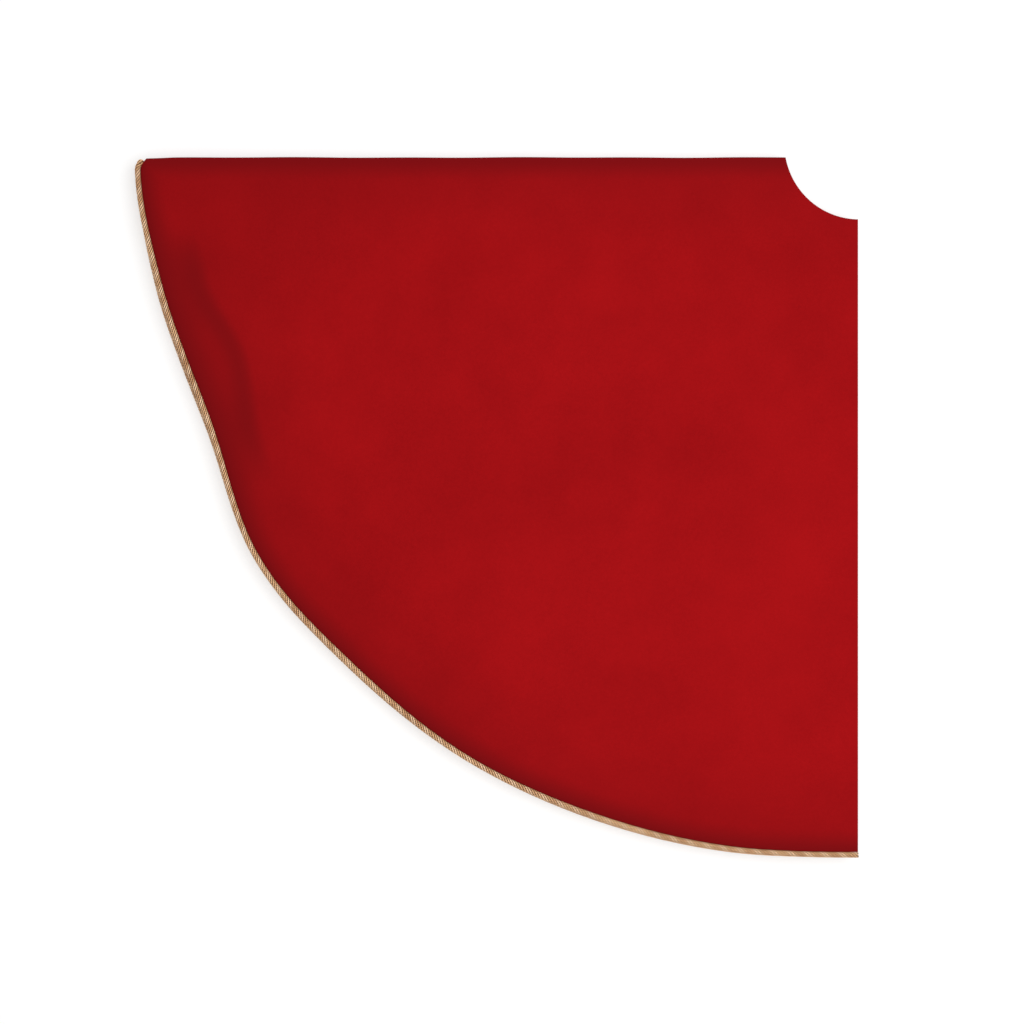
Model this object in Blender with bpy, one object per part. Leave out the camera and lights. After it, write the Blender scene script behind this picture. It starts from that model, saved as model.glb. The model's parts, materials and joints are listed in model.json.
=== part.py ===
"""Round tree skirt of red velvet with a twisted gold edge cord, folded in quarters and laid flat.

Four quarters lie on each other, joined at three creases like a fan fold: quarter 4 is at the bottom, face
down, then quarter 3, face up, quarter 2, face down, and quarter 1 on top, face up. Each quarter is a
sandwich of face cloth, padding and lining. The slit lies along the right edge of quarters 1 and 4.
Metres, +Z up, +Y towards the creased top edge. The origin is under the middle of the folded stack.
"""

from math import cos, radians, sin

import bmesh
import bpy
from mathutils import Vector

# Driving dimensions
SKIRT_RADIUS = 0.610  # from the middle of the neck hole to the outside of the edge cord
NECK_RADIUS = 0.063  # of the arc cut for the trunk
NECK_CENTRE = (0.0045, 0.0115)  # of that arc, from the corner where the creases cross
CORD_DIAMETER = 0.0050
FACE_THICKNESS = 0.0012
PADDING_THICKNESS = 0.0014
LINING_THICKNESS = 0.0006
LIP_THICKNESS = 0.0008
LIP_WIDTH = 0.0140  # of the tape that the cord is sewn in by
PADDING_MARGIN = 0.0160  # seam allowance with no padding, along the neck and the slit
FACING_WIDTH = 0.0250  # of the strips round the neck and along the slit
CORD_GAP = 0.0004  # between the cords of two quarters that lie on each other
SEAT_GAP = 0.0003  # between pieces that touch
SLIT_OVERHANG = 0.0040  # how far the top quarter reaches past the crease below it
TAPE_SIZE = (0.0180, 0.0300)  # of a hook or loop tape, across and along the slit
TAPE_THICKNESS = 0.0008
TAPE_PLACES = (0.15, 0.34, 0.53)  # distances of the tapes from the corner, along the slit
PILE_DENT = 0.0005  # how deep a loop tape is pressed into the pile

# The cut edge isn't quite round: its radius at angles down from the top crease, as shares of the radius
EDGE_FORM = (
    (0, 1.005),
    (10, 0.993),
    (22, 0.982),
    (33, 1.009),
    (45, 1.004),
    (57, 1.002),
    (70, 0.993),
    (80, 0.986),
    (90, 0.977),
)
EDGE_STEP = 3  # degrees between points of the outer curve
NECK_STEP = 10  # and of the neck's arc

STACK_THICKNESS = FACE_THICKNESS + PADDING_THICKNESS + LINING_THICKNESS + 2 * SEAT_GAP
# From one quarter to the next: the cords clear each other, and so do a hook tape and the lining above
LAYER_PITCH = max(CORD_DIAMETER + CORD_GAP, STACK_THICKNESS + TAPE_THICKNESS + 2 * SEAT_GAP)
CREASE_EDGE = -SEAT_GAP / 2  # a quarter ends here, at each crease that it hangs on
PANEL_INSET = CORD_DIAMETER + SEAT_GAP  # from the cord's outside to the cloth
X, Y = 0, 1

# Each quarter: its place in the stack from the bottom, which way its face looks, and its right edge
QUARTERS = {
    4: {"place": 0, "face": -1, "right": -SLIT_OVERHANG - SEAT_GAP, "slit": True},
    3: {"place": 1, "face": 1, "right": CREASE_EDGE, "slit": False},
    2: {"place": 2, "face": -1, "right": CREASE_EDGE, "slit": False},
    1: {"place": 3, "face": 1, "right": SLIT_OVERHANG, "slit": True},
}


def clear_scene():
    for old in list(bpy.data.objects):
        bpy.data.objects.remove(old)


def make_material(name, color, roughness, metallic=0.0):
    material = bpy.data.materials.new(name)
    material.use_nodes = True
    shader = material.node_tree.nodes["Principled BSDF"]
    shader.inputs["Base Color"].default_value = (*color, 1)
    shader.inputs["Roughness"].default_value = roughness
    shader.inputs["Metallic"].default_value = metallic
    return material


# Curves of the cut, as points at an angle in degrees down from the top crease


def edge_form(angle):
    """Share of the skirt's radius at this angle, on a smooth curve that the creases mirror."""
    angle = min(abs(angle), 180 - abs(angle))
    last = len(EDGE_FORM) - 1
    i = max(k for k in range(last) if EDGE_FORM[k][0] <= angle)
    (a, low), (b, high) = EDGE_FORM[i], EDGE_FORM[i + 1]

    def slope(k):
        if k in (0, last):
            return 0.0
        return (EDGE_FORM[k + 1][1] - EDGE_FORM[k - 1][1]) / (EDGE_FORM[k + 1][0] - EDGE_FORM[k - 1][0])

    t = (angle - a) / (b - a)
    bend = (low - high) * (2 * t**3 - 3 * t**2) + low
    return bend + (b - a) * (slope(i) * (t**3 - 2 * t**2 + t) + slope(i + 1) * (t**3 - t**2))


def edge_curve(inset):
    """The outer edge, moved in from the cord's outside."""

    def point(angle):
        r = SKIRT_RADIUS * edge_form(angle) - inset
        return -r * cos(radians(angle)), -r * sin(radians(angle))

    return point


def neck_curve(outset=0.0):
    """The neck's arc, moved out from the hole."""

    def point(angle):
        r = NECK_RADIUS + outset
        return NECK_CENTRE[X] - r * cos(radians(angle)), NECK_CENTRE[Y] - r * sin(radians(angle))

    return point


def angle_where(curve, axis, value):
    """Angle at which a curve meets a line of equal x, or of equal y near the top crease."""
    low, high = (30, 110) if axis == X else (-10, 60)
    rising = curve(high)[axis] > curve(low)[axis]
    for _ in range(48):
        middle = (low + high) / 2
        if (curve(middle)[axis] < value) == rising:
            low = middle
        else:
            high = middle
    return (low + high) / 2


def stretch(curve, start, end, step):
    """Points of a curve between two lines, each given as (axis, value), at round angles and at both ends."""
    first = angle_where(curve, *start)
    last = angle_where(curve, *end)
    between = [a for a in range(0, 91, step) if first + step / 4 < a < last - step / 4]
    return [curve(angle) for angle in (first, *between, last)]


def patch_outline(inner, outer, start, end, inner_step=NECK_STEP, outer_step=EDGE_STEP):
    """Closed outline between an inner and an outer curve, and between two lines."""
    inside = stretch(inner, start, end, inner_step)
    return inside + stretch(outer, start, end, outer_step)[::-1]


# Objects


def link(name, data, parts, material, parent, place):
    piece = bpy.data.objects.new(name, data)
    piece.data.materials.append(material)
    piece.parent = parent["empty"]
    piece.location = place - parent["at"]
    parts.objects.link(piece)
    return piece


def flat_piece(name, outline, thickness, height, parts, material, parent, corner):
    """A flat piece of cloth: a filled outline, extruded both ways."""
    curve = bpy.data.curves.new(name, "CURVE")
    curve.dimensions = "2D"
    curve.fill_mode = "BOTH"
    curve.extrude = thickness / 2
    curve.render_resolution_u = 0
    spline = curve.splines.new("POLY")
    spline.points.add(len(outline) - 1)
    for point, (x, y) in zip(spline.points, outline):
        point.co = (x, y, 0, 1)
    spline.use_cyclic_u = True
    return link(name, curve, parts, material, parent, corner + Vector((0, 0, height)))


def square_ends(points):
    """The same line with a short straight piece at each end, across the crease or the slit it ends at."""
    (x, y), (end_x, end_y) = points[0], points[-1]
    return [(x, y), (x, y - CORD_DIAMETER), *points[1:-1], (end_x - CORD_DIAMETER, end_y), (end_x, end_y)]


def cord_piece(name, points, height, parts, material, parent, corner):
    """A stretch of the edge cord, as a tube."""
    curve = bpy.data.curves.new(name, "CURVE")
    curve.dimensions = "3D"
    curve.bevel_depth = CORD_DIAMETER / 2
    curve.bevel_resolution = 2
    curve.use_fill_caps = True
    curve.render_resolution_u = 0
    spline = curve.splines.new("POLY")
    spline.points.add(len(points) - 1)
    for point, (x, y) in zip(spline.points, points):
        point.co = (x, y, 0, 1)
    return link(name, curve, parts, material, parent, corner + Vector((0, 0, height)))


def box_mesh(name, size):
    bpy.ops.mesh.primitive_cube_add(size=1)
    cube = bpy.context.object
    mesh = cube.data
    mesh.name = name
    bpy.data.objects.remove(cube)
    for vertex in mesh.vertices:
        vertex.co = [c * s for c, s in zip(vertex.co, size)]
    return mesh


def slit_tapes(kind, height, right, parts, material, parent, corner):
    """Three short tapes in a row along the slit, and the places where they lie."""
    places = []
    for letter, along in zip("abc", TAPE_PLACES):
        place = corner + Vector((right - FACING_WIDTH / 2, -along, height))
        name = f"{kind}_tape_{letter}"
        link(name, box_mesh(name, (*TAPE_SIZE, TAPE_THICKNESS)), parts, material, parent, place)
        places.append(place)
    return places


def to_mesh(piece):
    """Turns a curve object into a mesh object with closed caps, in the same place."""
    depsgraph = bpy.context.evaluated_depsgraph_get()
    mesh = bpy.data.meshes.new_from_object(piece.evaluated_get(depsgraph))
    work = bmesh.new()
    work.from_mesh(mesh)
    bmesh.ops.remove_doubles(work, verts=work.verts, dist=SEAT_GAP / 30)
    work.to_mesh(mesh)
    work.free()
    name = piece.name
    solid = bpy.data.objects.new(name + "_solid", mesh)
    for collection in piece.users_collection:
        collection.objects.link(solid)
    solid.parent = piece.parent
    solid.location = piece.location
    bpy.data.objects.remove(piece)
    solid.name = name
    return solid


def press_tapes_in(face, places, surface, cutters):
    """Dents the pile where the loop tapes are sewn on."""
    size = [s + 2 * SEAT_GAP for s in TAPE_SIZE] + [2 * PILE_DENT]
    for number, place in enumerate(places):
        cutter = bpy.data.objects.new(f"tape_dent_{number}", box_mesh("tape_dent", size))
        cutter.location = (place.x, place.y, surface)
        cutter.hide_render = True
        cutter.display_type = "WIRE"
        cutters.objects.link(cutter)
        dent = face.modifiers.new("dent", "BOOLEAN")
        dent.operation = "DIFFERENCE"
        dent.object = cutter


# The folded skirt


def stack_corner():
    """Where the creases cross, so that the origin is under the middle of the stack."""
    outside = stretch(edge_curve(0), (Y, CREASE_EDGE), (X, SLIT_OVERHANG), EDGE_STEP)
    xs = [x for x, y in outside]
    ys = [y for x, y in outside]
    return Vector((-(min(xs) + max(xs)) / 2, -(min(ys) + CREASE_EDGE) / 2, 0))


def crease_frames(corner, base):
    """One empty for each quarter, on the axis of the crease that it turns on."""
    heights = {4: 0, 3: base + LAYER_PITCH, 2: base + 2 * LAYER_PITCH, 1: base + 3 * LAYER_PITCH}
    frames = {}
    above = None
    for number in (4, 3, 2, 1):
        empty = bpy.data.objects.new(f"quarter_{number}", None)
        bpy.context.scene.collection.objects.link(empty)
        at = corner + Vector((0, 0, heights[number])) if above else Vector((0, 0, 0))
        if above:
            empty.parent = above["empty"]
            empty.location = at - above["at"]
        above = {"empty": empty, "at": at}
        frames[number] = above
    return frames


def build_quarter(number, corner, base, frame, parts, cutters, materials):
    quarter = QUARTERS[number]
    up = quarter["face"]
    middle = base + (quarter["place"] + 0.5) * LAYER_PITCH
    top_line = (Y, CREASE_EDGE)
    right_line = (X, quarter["right"])
    seam_line = (X, quarter["right"] - FACING_WIDTH)
    face_height = middle + up * (STACK_THICKNESS - FACE_THICKNESS) / 2
    padding_height = middle + up * (STACK_THICKNESS / 2 - FACE_THICKNESS - SEAT_GAP - PADDING_THICKNESS / 2)
    lining_height = middle - up * (STACK_THICKNESS - LINING_THICKNESS) / 2
    cloth_edge = edge_curve(PANEL_INSET)
    facing_edge = neck_curve(FACING_WIDTH)
    past_facing = neck_curve(FACING_WIDTH + SEAT_GAP)

    def flat(name, outline, thickness, height, material):
        name = name.format(number)
        return flat_piece(name, outline, thickness, height, parts, materials[material], frame, corner)

    # The face cloth round the neck is a solid of its own, over the facing, so that the neck hole stays open
    neck_ring = patch_outline(neck_curve(), facing_edge, top_line, right_line, outer_step=NECK_STEP)
    flat("face_neck_{}", neck_ring, FACE_THICKNESS, face_height, "velvet")
    flat("neck_facing_{}", neck_ring, LINING_THICKNESS, lining_height, "facing")

    outline = patch_outline(past_facing, cloth_edge, top_line, right_line)
    face = flat("face_panel_{}", outline, FACE_THICKNESS, face_height, "velvet")

    lip_inner = edge_curve(PANEL_INSET + LIP_WIDTH)
    outline = patch_outline(lip_inner, cloth_edge, top_line, right_line, inner_step=EDGE_STEP)
    flat("cord_lip_{}", outline, LIP_THICKNESS, padding_height, "lip_tape")

    padding_edge = edge_curve(PANEL_INSET + LIP_WIDTH + SEAT_GAP)
    margin = PADDING_MARGIN if quarter["slit"] else 0
    side = (X, quarter["right"] - margin)
    outline = patch_outline(neck_curve(PADDING_MARGIN), padding_edge, top_line, side)
    flat("padding_{}", outline, PADDING_THICKNESS, padding_height, "wadding")

    side = (X, seam_line[1] - SEAT_GAP) if quarter["slit"] else right_line
    outline = patch_outline(past_facing, cloth_edge, top_line, side)
    flat("lining_{}", outline, LINING_THICKNESS, lining_height, "satin")

    if quarter["slit"]:
        outline = patch_outline(past_facing, cloth_edge, seam_line, right_line)
        flat("slit_facing_{}", outline, LINING_THICKNESS, lining_height, "facing")

    cord_line = stretch(edge_curve(CORD_DIAMETER / 2), top_line, right_line, EDGE_STEP)
    cord_line = square_ends(cord_line)
    cord_piece(f"edge_cord_{number}", cord_line, middle, parts, materials["gold_cord"], frame, corner)

    if number == 1:
        height = lining_height - up * (LINING_THICKNESS / 2 + SEAT_GAP + TAPE_THICKNESS / 2)
        slit_tapes("hook", height, quarter["right"], parts, materials["hook_tape"], frame, corner)
    if number == 4:
        surface = middle + up * STACK_THICKNESS / 2
        height = surface - up * (PILE_DENT - SEAT_GAP - TAPE_THICKNESS / 2)
        tape_at = slit_tapes("loop", height, quarter["right"], parts, materials["loop_tape"], frame, corner)
        press_tapes_in(to_mesh(face), tape_at, surface, cutters)


def build_tree_skirt():
    clear_scene()
    parts = bpy.data.collections.new("tree_skirt")
    cutters = bpy.data.collections.new("cutters")
    bpy.context.scene.collection.children.link(parts)
    bpy.context.scene.collection.children.link(cutters)
    materials = {
        "velvet": make_material("velvet", (0.36, 0.006, 0.008), 0.85),
        "satin": make_material("satin", (0.30, 0.010, 0.014), 0.45),
        "facing": make_material("facing", (0.26, 0.008, 0.012), 0.55),
        "wadding": make_material("wadding", (0.75, 0.73, 0.68), 0.95),
        "lip_tape": make_material("lip_tape", (0.50, 0.36, 0.16), 0.80),
        "gold_cord": make_material("gold_cord", (0.62, 0.38, 0.15), 0.40, 0.6),
        "hook_tape": make_material("hook_tape", (0.16, 0.008, 0.012), 0.70),
        "loop_tape": make_material("loop_tape", (0.20, 0.010, 0.014), 0.95),
    }
    corner = stack_corner()
    tape_depth = STACK_THICKNESS / 2 + SEAT_GAP + TAPE_THICKNESS - PILE_DENT
    base = max(CORD_DIAMETER / 2, tape_depth) - LAYER_PITCH / 2  # the lowest piece touches z = 0
    frames = crease_frames(corner, base)
    for number in QUARTERS:
        build_quarter(number, corner, base, frames[number], parts, cutters, materials)


build_tree_skirt()
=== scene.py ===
"""Round tree skirt of red velvet with a twisted gold edge cord, folded in quarters and laid on a pale floor.

Quarter 4 is at the bottom, face down, then 3, face up, 2, face down, and 1 on top, face up. They fold at
three creases. Metres, +Z up. The corner is the point where the creases cross, at the upper right.
"""

import json
from math import cos, pi, radians, sin, tau

import bmesh
import bpy
import numpy as np
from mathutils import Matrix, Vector


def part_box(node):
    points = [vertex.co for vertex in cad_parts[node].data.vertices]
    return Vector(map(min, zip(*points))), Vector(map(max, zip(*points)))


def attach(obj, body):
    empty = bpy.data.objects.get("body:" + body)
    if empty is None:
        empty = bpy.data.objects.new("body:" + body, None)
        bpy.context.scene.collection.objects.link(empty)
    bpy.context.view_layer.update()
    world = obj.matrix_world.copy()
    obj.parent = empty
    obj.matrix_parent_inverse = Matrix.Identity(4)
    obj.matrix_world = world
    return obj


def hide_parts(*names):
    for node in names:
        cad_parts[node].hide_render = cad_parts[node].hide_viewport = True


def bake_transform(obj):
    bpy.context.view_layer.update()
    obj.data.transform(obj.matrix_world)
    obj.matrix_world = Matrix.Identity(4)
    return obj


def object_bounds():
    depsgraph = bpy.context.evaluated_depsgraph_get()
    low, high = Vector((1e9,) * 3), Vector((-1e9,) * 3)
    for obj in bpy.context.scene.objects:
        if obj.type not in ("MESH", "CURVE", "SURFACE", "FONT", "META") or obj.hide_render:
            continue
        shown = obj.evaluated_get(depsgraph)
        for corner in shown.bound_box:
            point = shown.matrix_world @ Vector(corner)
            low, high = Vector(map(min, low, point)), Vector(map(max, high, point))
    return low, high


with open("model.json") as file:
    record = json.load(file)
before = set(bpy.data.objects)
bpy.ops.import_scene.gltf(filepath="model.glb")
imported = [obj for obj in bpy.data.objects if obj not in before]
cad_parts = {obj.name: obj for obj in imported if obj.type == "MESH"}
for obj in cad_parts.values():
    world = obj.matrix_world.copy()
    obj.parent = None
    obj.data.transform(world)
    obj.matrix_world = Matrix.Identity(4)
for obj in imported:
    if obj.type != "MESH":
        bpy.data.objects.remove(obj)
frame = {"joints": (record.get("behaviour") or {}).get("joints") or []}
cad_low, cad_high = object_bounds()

# Sizes of the skirt, as it is cut and sewn
SKIRT_RADIUS = 0.610
NECK_RADIUS = 0.063
NECK_CENTRE = (0.0045, 0.0115)  # from the corner
CORD_RADIUS = 0.0025
CLOTH_INSET = 0.0050  # from the cord's outside to the edge of the cloth
HALF_STACK = 0.0019  # from the middle of a quarter to the outside of its cloth
FACE_THICKNESS = 0.0012
LINING_THICKNESS = 0.0006
FACING_WIDTH = 0.0250
LIP_WIDTH = 0.0140
SEAM_ALLOWANCE = 0.0160

# The cut edge isn't quite round: angle from the top crease in degrees, and share of the radius
EDGE_FORM = np.array(
    [
        (0, 1.005),
        (10, 0.993),
        (22, 0.982),
        (33, 1.009),
        (45, 1.004),
        (57, 1.002),
        (70, 0.993),
        (80, 0.986),
        (90, 0.977),
    ]
)

# How the cloth lies
LOFT = 0.0036  # rise of the top quarter over its folded edges
WAVE_LIMIT = 0.0012  # most that a wave adds to it or takes off
LOFT_SHARE = {4: 0.05, 3: 0.35, 2: 0.68, 1: 1.0}
LOFT_WIDTH = {"crease": 0.024, "seam": 0.024, "right": 0.075}
SEAM_GAP = 0.00012  # half of the gap between face and lining where they meet
SEAM_EDGE = 0.00035  # thickness of half a seam
FOLD_BULGE = {"crease_1_2": 0.0016, "crease_2_3": 0.0026, "crease_3_4": 0.0020}
CORNER_PULL = 0.0050  # how far a fold draws the edge in at its end
CORNER_REACH = 0.0100

JOINTS = {joint["name"]: joint for joint in frame["joints"]}
CORNER_X = JOINTS["crease_2_3"]["pos_m"][0]
CORNER_Y = JOINTS["crease_1_2"]["pos_m"][1]
CORD_BOX = {number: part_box(f"edge_cord_{number}") for number in (1, 2, 3, 4)}
MIDDLE = {number: (low.z + high.z) / 2 for number, (low, high) in CORD_BOX.items()}
FACE_UP = {1: 1, 2: -1, 3: 1, 4: -1}
RIGHT = {1: CORD_BOX[1][1].x - CORNER_X, 2: 0.0, 3: 0.0, 4: CORD_BOX[4][1].x - CORNER_X}
SLIT = {1: True, 2: False, 3: False, 4: True}
FOLDS = {  # lower quarter, upper quarter, the side that it is on, and the cloth on its outside
    "crease_1_2": (2, 1, "top", "velvet"),
    "crease_2_3": (3, 2, "right", "satin"),
    "crease_3_4": (4, 3, "top", "velvet"),
}


# The skirt's plan. Points are given from the corner: x < 0 to the left, y < 0 downwards


def degrees_of(x, y):
    """Angle of each point seen from the corner, from the top crease downwards."""
    return np.degrees(np.arctan2(-y, -x))


def edge_share(angle):
    """Share of the skirt's radius at each angle in degrees, on a smooth curve that the creases mirror."""
    angle = np.abs(angle)
    angle = np.minimum(angle, 180 - angle)
    at, share = EDGE_FORM.T
    slope = np.zeros(len(at))
    slope[1:-1] = (share[2:] - share[:-2]) / (at[2:] - at[:-2])
    i = np.clip(np.searchsorted(at, angle, side="right") - 1, 0, len(at) - 2)
    width = at[i + 1] - at[i]
    t = (angle - at[i]) / width
    bend = (share[i] - share[i + 1]) * (2 * t**3 - 3 * t**2) + share[i]
    return bend + width * (slope[i] * (t**3 - 2 * t**2 + t) + slope[i + 1] * (t**3 - t**2))


def edge_point(angle, inset):
    """Points of the outer edge, moved in from the cord's outside."""
    r = SKIRT_RADIUS * edge_share(angle) - inset
    return np.stack([-r * np.cos(np.radians(angle)), -r * np.sin(np.radians(angle))], -1)


def neck_point(angle, outset=0.0):
    """Points of the neck's arc, moved out from the hole."""
    r = NECK_RADIUS + outset
    x = NECK_CENTRE[0] - r * np.cos(np.radians(angle))
    y = NECK_CENTRE[1] - r * np.sin(np.radians(angle))
    return np.stack([x, y], -1)


def edge_curve(inset):
    return lambda angle: edge_point(angle, inset)


def neck_curve(outset):
    return lambda angle: neck_point(angle, outset)


def angle_at(curve, axis, value):
    """Angle at which a curve meets a line of equal x (axis 0), or of equal y near the top (axis 1)."""
    low, high = (30.0, 110.0) if axis == 0 else (-10.0, 60.0)
    rising = curve(high)[axis] > curve(low)[axis]
    for _ in range(44):
        middle = (low + high) / 2
        if (curve(middle)[axis] < value) == rising:
            low = middle
        else:
            high = middle
    return (low + high) / 2


def steps(length, close, between):
    """Places from 0 to a length, or to each of several: close together at both ends and even between."""
    length = np.asarray(length, float)[..., None]
    close = np.array(close)
    middle = np.linspace(0, 1, between + 1)[1:-1]
    start = close + 0 * length
    inside = close[-1] + (length - 2 * close[-1]) * middle
    return np.concatenate([start, inside, length - close[::-1]], -1) / length


def smooth(t):
    t = np.clip(t, 0, 1)
    return t * t * (3 - 2 * t)


def plan(number, close, across, along, inner=0.0, inset=CLOTH_INSET, right=None):
    """Grid of points over a quarter: rows from neck to outer seam, columns from top crease to right edge.

    inner moves the first row out from the neck, inset moves the last one in from the cord's outside."""
    right = RIGHT[number] if right is None else right
    neck, edge = neck_curve(inner), edge_curve(inset)
    ends = [(angle_at(curve, 1, 0.0), angle_at(curve, 0, right)) for curve in (neck, edge)]
    v = steps(0.54, close, along)
    row_length = 0.094 + (0.945 - 0.094) * v
    u = steps(row_length, close, across)
    v = np.repeat(v[:, None], u.shape[1], 1)
    low = neck(ends[0][0] + u * (ends[0][1] - ends[0][0]))
    high = edge(ends[1][0] + u * (ends[1][1] - ends[1][0]))
    return low + (high - low) * v[..., None]


def distances(number, x, y):
    """Distance of each point from the cloth's outer seam, the neck, the top crease and the right edge."""
    angle = degrees_of(x, y)
    seam = SKIRT_RADIUS * edge_share(angle) - CLOTH_INSET - np.hypot(x, y)
    neck = np.hypot(x - NECK_CENTRE[0], y - NECK_CENTRE[1]) - NECK_RADIUS
    return {
        "seam": np.maximum(seam, 0),
        "neck": np.maximum(neck, 0),
        "crease": np.maximum(-y, 0),
        "right": np.maximum(RIGHT[number] - x, 0),
    }


def round_over(distance, radius):
    """0 at an edge and 1 from radius inwards, on a quarter circle."""
    return np.sqrt(1 - (1 - np.clip(distance / radius, 0, 1)) ** 2)


# place from the corner, reach across and along, direction across in degrees, wave length, height, phase
RIPPLES = (
    (-0.545, -0.130, (0.060, 0.110), 25, 0.055, 0.0013, 0.0),
    (-0.500, -0.250, (0.050, 0.100), 38, 0.062, 0.0009, 0.8),
    (-0.470, -0.060, (0.045, 0.060), 60, 0.058, 0.0007, 2.0),
    (-0.360, -0.300, (0.110, 0.160), 30, 0.120, 0.0008, 0.5),
    (-0.200, -0.330, (0.120, 0.170), -20, 0.150, 0.0007, 1.4),
    (-0.300, -0.120, (0.110, 0.080), 80, 0.110, 0.0006, 2.6),
    (-0.090, -0.470, (0.090, 0.110), 10, 0.090, 0.0005, 0.3),
)


def ripples(x, y):
    """Soft waves in the cloth, in metres: slanting ones at the left, long faint ones elsewhere."""
    wave = 0 * x
    for px, py, reach, direction, length, height, phase in RIPPLES:
        a = radians(direction)
        across = (x - px) * cos(a) + (y - py) * sin(a)
        along = -(x - px) * sin(a) + (y - py) * cos(a)
        fade = np.exp(-((across / reach[0]) ** 2) - (along / reach[1]) ** 2)
        wave = wave + height * fade * np.cos(tau * across / length + phase)
    return wave


SLACK_ANGLES = np.linspace(0, 90, 73)
SLACK_RADII = np.linspace(0.062, 0.600, 64)
SLACK_SHEET = {}


def average(grid, reach):
    """Mean of the square of values round each one, with the edges carried on outwards."""
    wide = np.pad(grid, reach, mode="edge")
    shifts = range(-reach, reach + 1)
    total = sum(np.roll(np.roll(wide, i, 0), j, 1) for i in shifts for j in shifts)
    return (total / len(shifts) ** 2)[reach:-reach, reach:-reach]


def settle_slack_sheet():
    """Heights of the waves in a slack sheet that is held at its edges and has settled under its weight."""
    angle, r = np.meshgrid(np.radians(SLACK_ANGLES), SLACK_RADII)
    x, y = -r * np.cos(angle), -r * np.sin(angle)
    start = np.stack([x, y, ripples(x, y)], -1).reshape(-1, 3)
    rows, columns = x.shape
    mesh = bpy.data.meshes.new("slack_sheet")
    mesh.from_pydata([tuple(p) for p in start], [], grid_faces(rows, columns))
    sheet = bpy.data.objects.new("slack_sheet", mesh)
    bpy.context.scene.collection.objects.link(sheet)
    edge = np.zeros((rows, columns))
    edge[[0, -1], :] = 1
    edge[:, [0, -1]] = 1
    slack = smooth((r - 0.25) / 0.20) * smooth((1.0 - angle) / 0.5) * 0.85 + 0.15
    for key, weights in (("held", edge), ("slack", slack)):
        group = sheet.vertex_groups.new(name=key)
        for index, weight in enumerate(weights.ravel()):
            if weight > 0:
                group.add([index], float(weight), "REPLACE")
    cloth = sheet.modifiers.new("cloth", "CLOTH")
    cloth.settings.quality = 5
    cloth.settings.mass = 0.25
    cloth.settings.bending_stiffness = 1.2
    cloth.settings.vertex_group_mass = "held"
    cloth.settings.vertex_group_shrink = "slack"
    cloth.settings.shrink_min = -0.002
    cloth.settings.shrink_max = -0.016
    cloth.settings.effector_weights.gravity = 0.1
    cloth.collision_settings.use_collision = False
    for step in range(1, 31):
        bpy.context.scene.frame_set(step)
    depsgraph = bpy.context.evaluated_depsgraph_get()
    result = sheet.evaluated_get(depsgraph).data
    heights = (np.array([v.co.z for v in result.vertices]) - start[:, 2]).reshape(rows, columns)
    bpy.context.scene.frame_set(1)
    bpy.data.objects.remove(sheet)
    SLACK_SHEET["waves"] = np.round(average(heights - average(heights, 8), 1), 5)


def settled(x, y):
    """The settled sheet's waves at these points."""
    if "waves" not in SLACK_SHEET:
        return 0 * x
    waves = SLACK_SHEET["waves"]
    angle = degrees_of(x, y)
    row, column = [
        np.clip((value - at[0]) / (at[1] - at[0]), 0, len(at) - 1.001)
        for value, at in ((np.hypot(x, y), SLACK_RADII), (angle, SLACK_ANGLES))
    ]
    i, j = row.astype(int), column.astype(int)
    a, b = row - i, column - j
    low = waves[i, j] * (1 - b) + waves[i, j + 1] * b
    high = waves[i + 1, j] * (1 - b) + waves[i + 1, j + 1] * b
    return low * (1 - a) + high * a


def lift(number, x, y):
    """How far a quarter's cloth stands above its flat place. It is 0 at the creases and the outer seam, and
    falls off towards the right.
    """
    d = distances(number, x, y)
    inside = 1 - np.exp(-d["crease"] / LOFT_WIDTH["crease"])
    inside = inside * (1 - np.exp(-d["seam"] / LOFT_WIDTH["seam"]))
    inside = inside * (1 - np.exp(-np.maximum(-x, 0) / LOFT_WIDTH["right"]))
    waves = ripples(x, y) + settled(x, y)
    return LOFT_SHARE[number] * inside * (LOFT + WAVE_LIMIT * np.tanh(waves / WAVE_LIMIT))


def half_height(number, x, y):
    """Distance from a quarter's middle to its outside: full, and rounded off at the seams."""
    d = distances(number, x, y)
    flat = HALF_STACK - SEAM_EDGE
    rounded = np.minimum(round_over(d["seam"], 0.0065), round_over(d["neck"], 0.0019))
    if SLIT[number]:
        rounded = np.minimum(rounded, round_over(d["right"], 0.0019))
    return SEAM_EDGE + flat * rounded


# How far each quarter's edge stands out from the cut, in millimetres, at angles in degrees
EDGE_OFFSETS = {
    1: (
        *((0, 0), (6, -0.8), (13, -2.0), (20, -2.6), (28, -3.6)),
        *((36, -0.8), (46, -2.0), (58, -0.5), (66, -1.6), (84, -1.2)),
    ),
    2: ((0, 0), (12, -0.1), (22, -0.8), (28, -2.6), (36, 0), (46, -0.3), (58, -0.2), (70, 0), (82, -0.2)),
    3: (
        *((0, 0), (8, 1.2), (14, 0.6), (20, 1.0), (28, -2.2)),
        *((36, 0.6), (48, -1.1), (54, 0), (66, -0.9), (78, 0)),
    ),
    4: ((0, 0), (11, 1.8), (20, 0.8), (28, -2.6), (38, 1.6), (50, -1.6), (62, 0.1), (74, -0.3), (84, -0.6)),
}


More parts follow.
